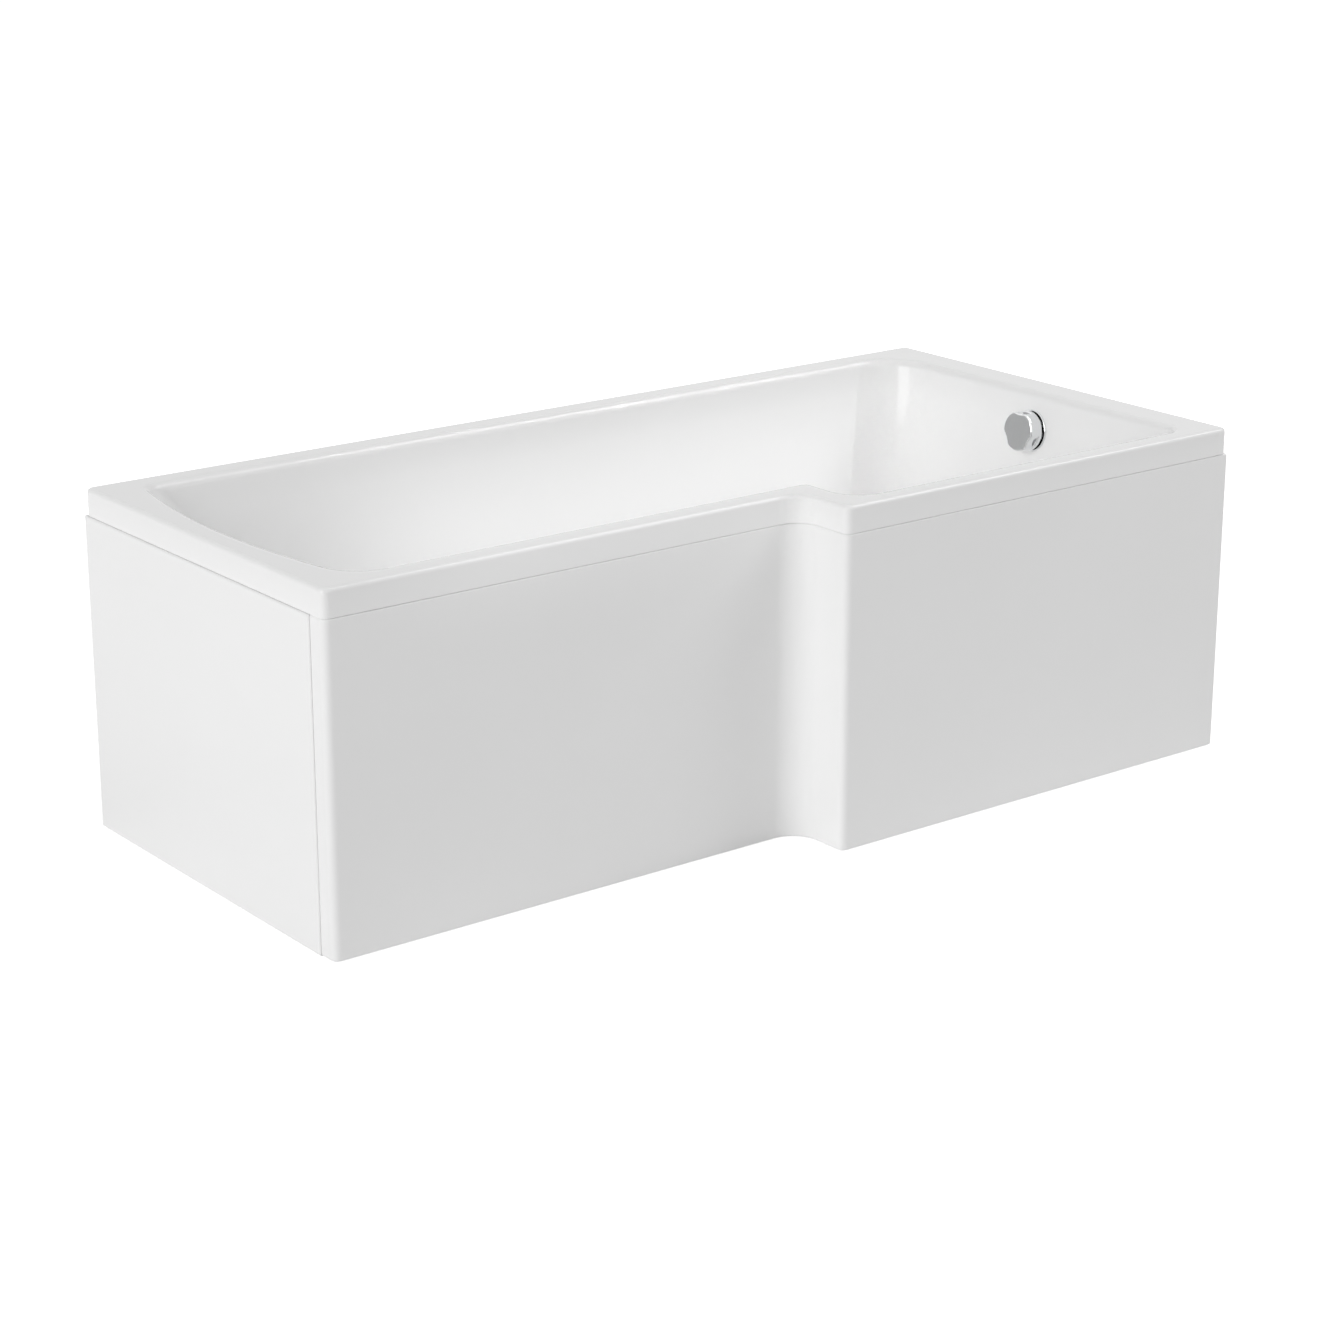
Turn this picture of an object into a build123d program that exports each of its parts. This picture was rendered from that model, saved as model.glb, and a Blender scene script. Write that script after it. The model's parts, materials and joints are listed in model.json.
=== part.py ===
from build123d import *
import math
import os

# L-shaped shower bath: an acrylic tub on a steel leg set, with panels and a pop-up waste
# Millimetres; the origin is on the floor under the middle of the rim
# +Z is up, +X points to the wide shower end and +Y to the wall at the back

os.makedirs("parts", exist_ok=True)

# Rim, seen from above
rim_length = 1700.0
narrow_width = 700.0
narrow_length = 864.0
step_depth = 108.0
bath_height = 561.5
rim_depth = 44.0
rim_corner_radius = 12.0
step_corner_radius = 45.0
rim_edge_radius = 7.0
rim_roll_radius = 14.0

# Flat deck between the rim's edge and the basin, side by side
deck_left = 40.0
deck_right = 72.0
deck_back = 50.0
deck_narrow = 46.0
deck_wide = 42.0
deck_step = 48.0

# Basin: floor, and how far each wall comes inwards from the rim to the floor
floor_height = 160.0
backrest_lean = 255.0
right_lean = 40.0
back_lean = 38.0
narrow_lean = 38.0
wide_lean = 34.0
step_lean = 38.0
backrest_bow_angle = 13.6
cove_radius = 50.0

# Basin corners in the order back left, front left, step inside, step outside, front right, back right
corner_radii_rim = (30.0, 60.0, 20.0, 48.0, 30.0, 85.0)
corner_radii_floor = (110.0, 110.0, 30.0, 80.0, 90.0, 110.0)

# Shell layers and the small gaps that glue, resin or a loose fit fills
skin = 5.0
bond_gap = 0.3
backing = 3.0
fit_gap = 0.08
baseboard_thickness = 18.0
baseboard_margin = 8.0
baseboard_from_waste = 55.0

# Wooden strips under the deck
batten_height = 18.0
roll_clearance = 2.0
batten_side_gap = 0.5
batten_end_gap = 6.0
batten_joint_gap = 0.5

# Panels
panel_thickness = 4.0
panel_flange = 18.0
panel_edge_radius = 3.0
panel_rim_gap = 0.6
panel_floor_gap = 1.0
return_width = 35.0
end_panel_proud = 3.0
panel_joint_gap = 0.5
panel_batten_height = 45.0
panel_batten_depth = 18.0
panel_batten_end_gap = 8.0

# Panel clips
clip_length = 30.0
clip_thickness = 3.0
clip_front = 6.0
clip_web = 20.0
narrow_clips_from_left = (200.0, 500.0, 730.0)
wide_clips_from_right = (250.0, 600.0)
end_clips_from_back = (204.0, 504.0)

# Leg set: two channels across the baseboard and a plate under its middle
channel_width = 32.0
channel_height = 25.0
channel_steel = 2.0
channel_overhang = 22.0
channel_from_left = 450.0
channel_from_right = 420.0
foot_from_rim = 57.0
centre_foot_from_left = 870.0
centre_plate_size = 80.0
centre_plate_steel = 3.0
centre_plate_corner = 4.0
leg_screw_spacing = 150.0
plate_screw_spacing = 54.0

# Feet
stud_radius = 5.0
stud_chamfer = 1.0
stud_above_web = 17.0
stud_hole_gap = 1.0
stud_below_board = 4.0
nut_across_flats = 17.0
nut_height = 8.0
foot_radius = 25.0
foot_plate_height = 6.0
foot_plate_edge = 2.0
foot_boss_radius = 11.0
foot_boss_height = 16.0
foot_boss_chamfer = 1.0
foot_skin = 4.0

# Wood screws
screw_radius = 2.2
screw_head_radius = 4.2
screw_head_height = 2.6
screw_head_edge = 1.3
screw_grip = 13.0

# Wall brackets
bracket_width = 50.0
bracket_steel = 3.0
bracket_from_end = 350.0
bracket_drop = 60.0
bracket_depth = 26.0
bracket_hole_radius = 2.75
bracket_hole_spacing = 28.0
bracket_hole_from_end = 20.0
bracket_screw_spacing = 30.0

# Waste in the floor
waste_from_right = 240.0
waste_from_back = 422.0
waste_hole_radius = 26.0
waste_flange_radius = 35.0
waste_flange_height = 2.5
waste_flange_edge = 1.5
waste_stem_radius = 23.7
waste_stem_bore = 20.5
waste_stem_length = 36.0
waste_spider_height = 6.0
waste_spider_rib = 3.0
waste_guide_radius = 7.0
gasket_thickness = 3.0
waste_gasket_radius = 38.0
waste_body_flange_radius = 39.0
waste_body_flange_height = 4.0
waste_body_radius = 29.0
waste_body_bottom = 85.0
tail_radius = 23.9
tail_bore = 20.0
tail_length = 23.0
tail_floor = 5.0
pipe_inlet_height = 107.0

# Plug, lifted by the knob
plug_radius = 30.0
plug_rim_height = 2.5
plug_dome_height = 3.0
plug_socket_radius = 6.0
plug_socket_length = 14.0
plug_seal_radius = 25.0
plug_seal_bore = 21.5
plug_seal_height = 1.0
lift_pin_radius = 4.0
lift_pin_length = 56.0
plug_lift = 12.0
knob_turn_degrees = 90.0

# Overflow in the right wall
overflow_drop = 67.5
overflow_hole_radius = 27.0
overflow_flange_radius = 37.0
overflow_flange_thickness = 3.5
overflow_flange_edge = 1.5
overflow_thread_radius = 24.5
overflow_thread_bore = 21.5
overflow_thread_length = 24.0
overflow_hub_radius = 9.0
overflow_hub_front = 2.5
overflow_hub_length = 16.0
spoke_width = 3.0
rib_root = 1.0
elbow_flange_radius = 34.0
elbow_flange_thickness = 4.0
elbow_radius = 29.0
elbow_depth = 40.0
elbow_wall = 2.5
elbow_pipe_depth = 20.0

# Knob with three finger hollows, turning in the overflow
knob_radius = 35.0
knob_stand_off = 9.0
knob_height = 25.0
knob_face = 4.0
knob_wall = 3.0
knob_edge_radius = 3.0
knob_boss_radius = 8.0
knob_skirt = 8.0
knob_hollow_half_angle = 22.0
knob_hollow_depth = 4.5
knob_corner_radius = 12.0
spindle_radius = 4.0
spindle_reach = 30.0
drum_width = 6.0

# Overflow pipe and the cable clipped to it
pipe_radius = 16.0
pipe_bore = 13.5
pipe_socket_wall = 3.0
pipe_socket_length = 25.0
pipe_insert = 15.0
pipe_bend_radius = 60.0
cable_radius = 2.5
cable_offset = 23.0
cable_gland_radius = 5.0
cable_gland_inset = 12.0
cable_gland_length = 24.0
cable_insert = 12.0
cable_clip_first = 37.0
cable_clip_spacing = 90.0
cable_clip_count = 3
cable_clip_height = 10.0
cable_clip_wall = 2.5

# Places that follow from the sizes above
wide_width = narrow_width + step_depth
left_x = -rim_length / 2
right_x = rim_length / 2
back_y = wide_width / 2
wide_y = -wide_width / 2
narrow_y = back_y - narrow_width
step_x = left_x + narrow_length
rim_bottom = bath_height - rim_depth
deck_underside = bath_height - skin
basin_depth = bath_height - floor_height
waste_x = right_x - waste_from_right
waste_y = back_y - waste_from_back
overflow_y = waste_y
overflow_height = bath_height - overflow_drop
left_channel_x = left_x + channel_from_left
right_channel_x = right_x - channel_from_right
centre_foot_x = left_x + centre_foot_from_left
bracket_left_x = left_x + bracket_from_end
bracket_right_x = right_x - bracket_from_end
roll_underside = rim_roll_radius - skin
backing_in = skin + bond_gap
backing_out = backing_in + backing
backing_top = deck_underside - roll_underside - roll_clearance
backing_bottom = floor_height - backing_out
board_top = backing_bottom - bond_gap
board_bottom = board_top - baseboard_thickness
channel_top = board_bottom - bond_gap
web_bottom = channel_top - channel_steel
batten_top = deck_underside - bond_gap
batten_bottom = batten_top - batten_height
panel_top = rim_bottom - panel_rim_gap


def save(part, name):
    part.label = name
    export_step(part, f"parts/{name}.step")


def l_shape(left, right, back, narrow, wide, step, radii, bow_angle=0.0):
    """L-shaped face; the left side bows outwards by an arc that turns through twice bow_angle."""
    sag = (back - narrow) / 2 * math.tan(math.radians(bow_angle) / 2)
    corners = [
        (left + sag, back),
        (left + sag, narrow),
        (step, narrow),
        (step, wide),
        (right, wide),
        (right, back),
    ]
    with BuildSketch() as shape:
        with BuildLine():
            Polyline(*corners[1:], corners[0])
            if sag > 0:
                ThreePointArc(corners[0], (left, (back + narrow) / 2), corners[1])
            else:
                Line(corners[0], corners[1])
        make_face()
        for corner, radius in zip(corners, radii):
            if radius > 0:
                fillet(shape.vertices().sort_by_distance(corner)[0], radius)
    return shape.sketch


def rim_face(inset, square_right=False):
    """Outline of the rim, or of a line parallel to it, inside by inset."""
    outer = max(rim_corner_radius - inset, 0)
    right_corner = 0 if square_right else outer
    radii = (right_corner, outer, step_corner_radius + inset, outer, right_corner, right_corner)
    return l_shape(
        left_x + inset,
        right_x - inset,
        back_y - inset,
        narrow_y + inset,
        wide_y + inset,
        step_x + inset,
        radii,
    )


def wall_place(at_rim, lean, level, grow):
    """Place of a basin wall at a height; lean is signed, and grow moves it out square to itself."""
    drop = (bath_height - level) / basin_depth
    outwards = -math.copysign(math.hypot(1, lean / basin_depth), lean)
    return at_rim + lean * drop + outwards * grow


def basin_face(level, grow):
    drop = (bath_height - level) / basin_depth
    radii = []
    for place, (at_rim, at_floor) in enumerate(zip(corner_radii_rim, corner_radii_floor)):
        inside_corner = place == 2
        radii.append(at_rim + (at_floor - at_rim) * drop + (-grow if inside_corner else grow))
    return l_shape(
        wall_place(left_x + deck_left, backrest_lean, level, grow),
        wall_place(right_x - deck_right, -right_lean, level, grow),
        wall_place(back_y - deck_back, -back_lean, level, grow),
        wall_place(narrow_y + deck_narrow, narrow_lean, level, grow),
        wall_place(wide_y + deck_wide, wide_lean, level, grow),
        wall_place(step_x + deck_step, step_lean, level, grow),
        radii,
        backrest_bow_angle,
    )


def basin_solid(top, grow):
    """The basin's hollow up to a height, larger by grow all round and below."""
    bottom = floor_height - grow
    with BuildPart() as block:
        with BuildSketch(Plane.XY.offset(bottom)):
            add(basin_face(bottom, grow))
        with BuildSketch(Plane.XY.offset(top)):
            add(basin_face(top, grow))
        loft(ruled=True)
        fillet(block.faces().sort_by(Axis.Z)[0].edges(), cove_radius + grow)
    return block.part


def ring(plane, outer, inner, length):
    """Tube standing on a plane; inner of 0 makes it a rod."""
    with BuildPart() as tube:
        with BuildSketch(plane):
            Circle(outer)
            if inner > 0:
                Circle(inner, mode=Mode.SUBTRACT)
        extrude(amount=length)
    return tube.part


def bar(low, high):
    """Square-cut bar between two corners."""
    with BuildPart() as block:
        with Locations([(low[0], low[1], low[2])]):
            Box(
                high[0] - low[0],
                high[1] - low[1],
                high[2] - low[2],
                align=(Align.MIN, Align.MIN, Align.MIN),
            )
    return block.part


def edges_at(builder, level):
    """Edges that the last step left at a height."""
    return builder.edges(Select.LAST).filter_by_position(Axis.Z, level - fit_gap, level + fit_gap)


def front_circle(builder):
    """Front edge of the widest round face, on the side that looks into the bath."""
    circles = builder.edges().filter_by(GeomType.CIRCLE).group_by(SortBy.RADIUS)[-1]
    return circles.sort_by(overflow_axis)[-1]


def pilots(spots, bottom, depth):
    """Rods that cut the holes for wood screws."""
    with BuildPart() as rods:
        with BuildSketch(Plane.XY.offset(bottom)):
            with Locations(*spots):
                Circle(screw_radius + fit_gap)
        extrude(amount=depth)
    return rods.part


# The overflow sits square on the leaning right wall; its plane looks into the bath
overflow_x = wall_place(right_x - deck_right, -right_lean, overflow_height, 0)
overflow_plane = Plane(
    origin=(overflow_x, overflow_y, overflow_height),
    x_dir=(0, -1, 0),
    z_dir=(-basin_depth, 0, right_lean),
)
overflow_axis = Axis(overflow_plane.origin, overflow_plane.z_dir)
waste_plane = Plane(origin=(waste_x, waste_y, floor_height))

# Tub: deck, skirt and basin of one acrylic sheet
with BuildPart() as bath_shell:
    with BuildSketch(Plane.XY.offset(deck_underside)):
        add(rim_face(0))
    extrude(amount=skin)
    add(basin_solid(deck_underside, skin))
    under_roll = edges_at(bath_shell, deck_underside)
    fillet(under_roll, roll_underside)
    with BuildSketch(Plane.XY.offset(rim_bottom)):
        add(rim_face(0))
        add(rim_face(skin), mode=Mode.SUBTRACT)
    extrude(amount=rim_depth - skin)
    outer_edge = bath_shell.faces().sort_by(Axis.Z)[-1].edges()
    fillet(outer_edge, rim_edge_radius)
    add(basin_solid(bath_height + skin, 0), mode=Mode.SUBTRACT)
    roll = edges_at(bath_shell, bath_height)
    fillet(roll, rim_roll_radius)
    with BuildSketch(waste_plane.offset(-2 * skin)):
        Circle(waste_hole_radius)
    extrude(amount=3 * skin, mode=Mode.SUBTRACT)
    with BuildSketch(overflow_plane.offset(-2 * skin)):
        Circle(overflow_hole_radius)
    extrude(amount=3 * skin, mode=Mode.SUBTRACT)
save(bath_shell.part, "bath_shell")

# Glass-fibre layer sprayed on the back of the basin
with BuildPart() as glass_fibre_backing:
    add(basin_solid(backing_top, backing_out))
    add(basin_solid(backing_top + skin, backing_in), mode=Mode.SUBTRACT)
    with BuildSketch(waste_plane.offset(-2 * backing_out)):
        Circle(waste_hole_radius)
    extrude(amount=2 * backing_out, mode=Mode.SUBTRACT)
    with BuildSketch(overflow_plane.offset(-2 * backing_out)):
        Circle(overflow_hole_radius)
    extrude(amount=2 * backing_out, mode=Mode.SUBTRACT)
save(glass_fibre_backing.part, "glass_fibre_backing")

# Wooden strips bonded under the deck, between the skirt and the basin's rolled edge
batten_clear = skin + roll_underside + roll_clearance
batten_low = {
    "left": left_x + skin + batten_side_gap,
    "back": back_y - deck_back + batten_clear,
    "narrow": narrow_y + skin + batten_side_gap,
    "wide": wide_y + skin + batten_side_gap,
    "step": step_x + skin + batten_side_gap,
    "right": right_x - deck_right + batten_clear,
}
batten_high = {
    "left": left_x + deck_left - batten_clear,
    "back": back_y - skin - batten_side_gap,
    "narrow": narrow_y + deck_narrow - batten_clear,
    "wide": wide_y + deck_wide - batten_clear,
    "step": step_x + deck_step - batten_clear,
    "right": right_x - skin - batten_side_gap,
}
batten_ends_y = (wide_y + skin + batten_end_gap, back_y - skin - batten_end_gap)

# Screws go up into the strips from the panel clips and from the wall brackets
clip_screw_in = (clip_front + clip_web) / 2
narrow_spots = [(left_x + along, narrow_y + clip_screw_in) for along in narrow_clips_from_left]
wide_spots = [(right_x - along, wide_y + clip_screw_in) for along in wide_clips_from_right]
end_spots = [(left_x + clip_screw_in, back_y - along) for along in end_clips_from_back]
bracket_inner = back_y - skin - 2 * bond_gap
bracket_screw_y = bracket_inner - (bracket_depth + bracket_steel) / 2
bracket_spots = [
    (bracket_x + side * bracket_screw_spacing / 2, bracket_screw_y)
    for bracket_x in (bracket_left_x, bracket_right_x)
    for side in (-1, 1)
]


def batten(x_low, x_high, y_low, y_high):
    return bar((x_low, y_low, batten_bottom), (x_high, y_high, batten_top))


with BuildPart() as rim_batten_back:
    add(
        batten(
            left_x + skin + batten_end_gap,
            batten_low["right"] - batten_joint_gap,
            batten_low["back"],
            batten_high["back"],
        )
    )
    add(pilots(bracket_spots, batten_bottom, screw_grip), mode=Mode.SUBTRACT)
save(rim_batten_back.part, "rim_batten_back")

with BuildPart() as rim_batten_right:
    add(batten(batten_low["right"], batten_high["right"], *batten_ends_y))
save(rim_batten_right.part, "rim_batten_right")

with BuildPart() as rim_batten_left:
    add(
        batten(
            batten_low["left"],
            batten_high["left"],
            narrow_y + skin + batten_end_gap,
            batten_low["back"] - batten_joint_gap,
        )
    )
    add(pilots(end_spots, batten_bottom, screw_grip), mode=Mode.SUBTRACT)
save(rim_batten_left.part, "rim_batten_left")

with BuildPart() as rim_batten_narrow:
    add(
        batten(
            batten_high["left"] + batten_joint_gap,
            batten_high["step"],
            batten_low["narrow"],
            batten_high["narrow"],
        )
    )
    add(pilots(narrow_spots, batten_bottom, screw_grip), mode=Mode.SUBTRACT)
save(rim_batten_narrow.part, "rim_batten_narrow")

with BuildPart() as rim_batten_step:
    add(
        batten(
            batten_low["step"],
            batten_high["step"],
            wide_y + skin + batten_end_gap,
            batten_low["narrow"] - batten_joint_gap,
        )
    )
save(rim_batten_step.part, "rim_batten_step")

with BuildPart() as rim_batten_wide:
    add(
        batten(
            batten_high["step"] + batten_joint_gap,
            batten_low["right"] - batten_joint_gap,
            batten_low["wide"],
            batten_high["wide"],
        )
    )
    add(pilots(wide_spots, batten_bottom, screw_grip), mode=Mode.SUBTRACT)
save(rim_batten_wide.part, "rim_batten_wide")

# Baseboard bonded under the flat of the floor; it stops short of the waste
board_left = wall_place(left_x + deck_left, backrest_lean, backing_bottom, backing_out) + cove_radius
board_left += backing_out + baseboard_margin
board_right = waste_x - baseboard_from_waste
board_back = back_y - deck_back - back_lean - cove_radius - baseboard_margin
board_front = narrow_y + deck_narrow + narrow_lean + cove_radius + baseboard_margin
board_middle = (board_front + board_back) / 2
foot_back_y = back_y - foot_from_rim
foot_narrow_y = narrow_y + foot_from_rim
foot_wide_y = wide_y + foot_from_rim
channels = {
    "leg_channel_left": (left_channel_x, foot_narrow_y, foot_back_y),
    "leg_channel_right": (right_channel_x, foot_wide_y, foot_back_y),
}
screw_spots = []
for channel_x, low_foot_y, high_foot_y in channels.values():
    for turn in (-1, 0, 1):
        screw_spots.append((channel_x, board_middle + turn * leg_screw_spacing))
plate_spots = [
    (centre_foot_x + sx * plate_screw_spacing / 2, board_middle + sy * plate_screw_spacing / 2)
    for sx in (-1, 1)
    for sy in (-1, 1)
]

with BuildPart() as baseboard:
    add(bar((board_left, board_front, board_bottom), (board_right, board_back, board_top)))
    add(pilots(screw_spots + plate_spots, board_bottom, screw_grip), mode=Mode.SUBTRACT)
    centre_hole = Plane(origin=(centre_foot_x, board_middle, board_bottom))
    add(ring(centre_hole, stud_radius + stud_hole_gap, 0, baseboard_thickness), mode=Mode.SUBTRACT)
save(baseboard.part, "baseboard")

# Steel channels across the baseboard, open below, with a foot at each end
for name, (channel_x, low_foot_y, high_foot_y) in channels.items():
    channel_low = low_foot_y - channel_overhang
    channel_high = high_foot_y + channel_overhang
    with BuildPart() as channel:
        add(
            bar(
                (channel_x - channel_width / 2, channel_low, channel_top - channel_height),
                (channel_x + channel_width / 2, channel_high, channel_top),
            )
        )
        top_edges = channel.edges().filter_by(Axis.Y).group_by(Axis.Z)[-1]
        fillet(top_edges, channel_steel)
        inside = channel_width / 2 - channel_steel
        add(
            bar(
                (channel_x - inside, channel_low - 1, channel_top - channel_height - 1),
                (channel_x + inside, channel_high + 1, web_bottom),
            ),
            mode=Mode.SUBTRACT,
        )
        own_spots = [spot for spot in screw_spots if spot[0] == channel_x]
        add(pilots(own_spots, web_bottom, channel_steel), mode=Mode.SUBTRACT)
        with BuildSketch(Plane.XY.offset(web_bottom)):
            with Locations((channel_x, low_foot_y), (channel_x, high_foot_y)):
                Circle(stud_radius + fit_gap)
        extrude(amount=channel_steel, mode=Mode.SUBTRACT)
    save(channel.part, name)

plate_bottom = channel_top - centre_plate_steel
with BuildPart() as centre_foot_plate:
    with BuildSketch(Plane.XY.offset(plate_bottom)):
        with Locations((centre_foot_x, board_middle)):
            RectangleRounded(centre_plate_size, centre_plate_size, centre_plate_corner)
            Circle(stud_radius + fit_gap, mode=Mode.SUBTRACT)
    extrude(amount=centre_plate_steel)
    add(pilots(plate_spots, plate_bottom, centre_plate_steel), mode=Mode.SUBTRACT)
save(centre_foot_plate.part, "centre_foot_plate")


def wood_screw(spot, seat):
    """Screw driven upwards, its head just under the seat."""
    x, y = spot
    head_top = seat - bond_gap
    with BuildPart() as screw:
        with BuildSketch(Plane.XY.offset(head_top - screw_head_height)):
            with Locations((x, y)):
                Circle(screw_head_radius)
        extrude(amount=screw_head_height)
        fillet(screw.edges().sort_by(Axis.Z)[0], screw_head_edge)
        with BuildSketch(Plane.XY.offset(head_top)):
            with Locations((x, y)):
                Circle(screw_radius)
        extrude(amount=screw_grip)
    return screw.part


with BuildPart() as leg_screws:
    for spot in screw_spots:
        add(wood_screw(spot, web_bottom))
    for spot in plate_spots:
        add(wood_screw(spot, plate_bottom))
save(leg_screws.part, "leg_screws")

# Feet: a threaded stud in a plastic foot, held by two nuts
feet = [
    (left_channel_x, foot_back_y, web_bottom, channel_top),
    (left_channel_x, foot_narrow_y, web_bottom, channel_top),
    (right_channel_x, foot_back_y, web_bottom, channel_top),
    (right_channel_x, foot_wide_y, web_bottom, channel_top),
    (centre_foot_x, board_middle, plate_bottom, None),
]


def nut(x, y, bottom):
    with BuildPart() as hexagon:
        with BuildSketch(Plane.XY.offset(bottom)):
            with Locations((x, y)):
                RegularPolygon(nut_across_flats / 2, 6, major_radius=False)
                Circle(stud_radius + fit_gap, mode=Mode.SUBTRACT)
        extrude(amount=nut_height)
    return hexagon.part


with BuildPart() as foot_adjusting_nuts:
    for x, y, steel_bottom, steel_top in feet:
        add(nut(x, y, steel_bottom - bond_gap - nut_height))
save(foot_adjusting_nuts.part, "foot_adjusting_nuts")

with BuildPart() as foot_lock_nuts:
    for x, y, steel_bottom, steel_top in feet:
        if steel_top is None:
            add(nut(x, y, steel_bottom - 2 * (bond_gap + nut_height)))
        else:
            add(nut(x, y, steel_top + bond_gap))
save(foot_lock_nuts.part, "foot_lock_nuts")

for place, (x, y, steel_bottom, steel_top) in enumerate(feet, start=1):
    if steel_top is None:
        stud_top = steel_bottom + centre_plate_steel - stud_below_board
    else:
        stud_top = steel_top + stud_above_web
    centre = Plane(origin=(x, y, 0))
    with BuildPart() as foot_stud:
        add(ring(centre.offset(foot_skin), stud_radius, 0, stud_top - foot_skin))
        chamfer(foot_stud.edges().sort_by(Axis.Z)[-1], stud_chamfer)
    save(foot_stud.part, f"foot_stud_{place}")
    with BuildPart() as foot_pad:
        add(ring(centre, foot_radius, 0, foot_plate_height))
        fillet(foot_pad.edges().sort_by(Axis.Z)[-1], foot_plate_edge)
        add(ring(centre, foot_boss_radius, 0, foot_boss_height))
        chamfer(foot_pad.edges().sort_by(Axis.Z)[-1], foot_boss_chamfer)
        stud_seat = centre.offset(foot_skin - bond_gap)
        add(ring(stud_seat, stud_radius + fit_gap, 0, foot_boss_height), mode=Mode.SUBTRACT)
    save(foot_pad.part, f"foot_pad_{place}")

# Wall brackets: under the back strip, down inside the skirt and out to the wall
bracket_top = batten_bottom - bond_gap
bracket_turn = rim_bottom - 2 * bond_gap - bracket_steel
bracket_end = bracket_turn - bracket_drop
brackets = {"wall_bracket_left": bracket_left_x, "wall_bracket_right": bracket_right_x}
for name, bracket_x in brackets.items():
    with BuildPart() as bracket:
        with BuildSketch(Plane.YZ.offset(bracket_x - bracket_width / 2)):
            with BuildLine():
                Polyline(
                    (bracket_inner - bracket_depth, bracket_top),
                    (bracket_inner, bracket_top),
                    (bracket_inner, bracket_turn + bracket_steel),
                    (back_y, bracket_turn + bracket_steel),
                    (back_y, bracket_end),
                    (back_y - bracket_steel, bracket_end),
                    (back_y - bracket_steel, bracket_turn),
                    (bracket_inner - bracket_steel, bracket_turn),
                    (bracket_inner - bracket_steel, bracket_top - bracket_steel),
                    (bracket_inner - bracket_depth, bracket_top - bracket_steel),
                    close=True,
                )
            make_face()
        extrude(amount=bracket_width)
        own_spots = [spot for spot in bracket_spots if abs(spot[0] - bracket_x) < bracket_width]
        add(pilots(own_spots, bracket_top - bracket_steel, bracket_steel), mode=Mode.SUBTRACT)
        wall_face = Plane(
            origin=(bracket_x, back_y, bracket_end + bracket_hole_from_end),
            x_dir=(1, 0, 0),
            z_dir=(0, -1, 0),
        )
        with BuildSketch(wall_face):
            with GridLocations(bracket_hole_spacing, 0, 2, 1):
                Circle(bracket_hole_radius)
        extrude(amount=bracket_steel, mode=Mode.SUBTRACT)
    save(bracket.part, name)

with BuildPart() as wall_bracket_screws:
    for spot in bracket_spots:
        add(wood_screw(spot, bracket_top - bracket_steel))
save(wall_bracket_screws.part, "wall_bracket_screws")

# Clips screwed under the strips, each holding the top flange of a panel
clip_top = batten_bottom - bond_gap
lip_top = panel_top - panel_thickness - bond_gap


def panel_clip(plane):
    """Clip on a plane whose x runs inwards from the rim and whose y runs up."""
    hook = clip_web + clip_thickness
    with BuildPart() as clip:
        with BuildSketch(plane):
            with BuildLine():
                Polyline(
                    (clip_front, clip_top),
                    (hook, clip_top),
                    (hook, lip_top - clip_thickness),
                    (clip_front, lip_top - clip_thickness),
                    (clip_front, lip_top),
                    (clip_web, lip_top),
                    (clip_web, clip_top - clip_thickness),
                    (clip_front, clip_top - clip_thickness),
                    close=True,
                )
            make_face()
        extrude(amount=clip_length)
    return clip.part


with BuildPart() as panel_clips:
    for x, y in narrow_spots + wide_spots:
        origin = (x - clip_length / 2, y - clip_screw_in, 0)
        add(panel_clip(Plane(origin=origin, x_dir=(0, 1, 0), z_dir=(1, 0, 0))))
    for x, y in end_spots:
        origin = (x - clip_screw_in, y + clip_length / 2, 0)
        add(panel_clip(Plane(origin=origin, x_dir=(1, 0, 0), z_dir=(0, -1, 0))))
    clip_spots = narrow_spots + wide_spots + end_spots
    add(pilots(clip_spots, clip_top - clip_thickness, clip_thickness), mode=Mode.SUBTRACT)
    with BuildSketch(Plane.XY.offset(lip_top - clip_thickness)):
        with Locations(*clip_spots):
            Circle(screw_head_radius + bond_gap)
    extrude(amount=clip_thickness, mode=Mode.SUBTRACT)
save(panel_clips.part, "panel_clips")

with BuildPart() as panel_clip_screws:
    for spot in clip_spots:
        add(wood_screw(spot, clip_top - clip_thickness))
save(panel_clip_screws.part, "panel_clip_screws")

# Front panel: one moulding that turns round the corner and through the step
panel_height = panel_top - panel_floor_gap
beyond = 3 * panel_flange


def panel_outline(inset):
    """Run of the front panel; its right and back sides lie beyond the bath and are cut away."""
    outer = max(rim_corner_radius - inset, 0)
    radii = (0, outer, step_corner_radius + inset, outer, 0, 0)
    return l_shape(
        left_x + inset,
        right_x + beyond,
        back_y,
        narrow_y + inset,
        wide_y + inset,
        step_x + inset,
        radii,
    )


with BuildPart() as front_panel:
    with BuildSketch(Plane.XY.offset(panel_floor_gap)):
        add(panel_outline(0))
    extrude(amount=panel_height)
    fillet(front_panel.faces().filter_by(Axis.Z).edges(), panel_edge_radius)
    with BuildSketch(Plane.XY.offset(panel_floor_gap + panel_thickness)):
        add(panel_outline(panel_thickness))
    extrude(amount=panel_height - 2 * panel_thickness, mode=Mode.SUBTRACT)
    with BuildSketch():
        add(panel_outline(panel_flange))
    extrude(amount=rim_bottom, mode=Mode.SUBTRACT)
    back_cut = bar(
        (left_x - beyond, narrow_y + return_width, 0),
        (right_x + 2 * beyond, back_y + beyond, rim_bottom),
    )
    add(back_cut, mode=Mode.SUBTRACT)
    right_cut = bar((right_x, wide_y - beyond, 0), (right_x + 2 * beyond, back_y, rim_bottom))
    add(right_cut, mode=Mode.SUBTRACT)
save(front_panel.part, "front_panel")

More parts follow.
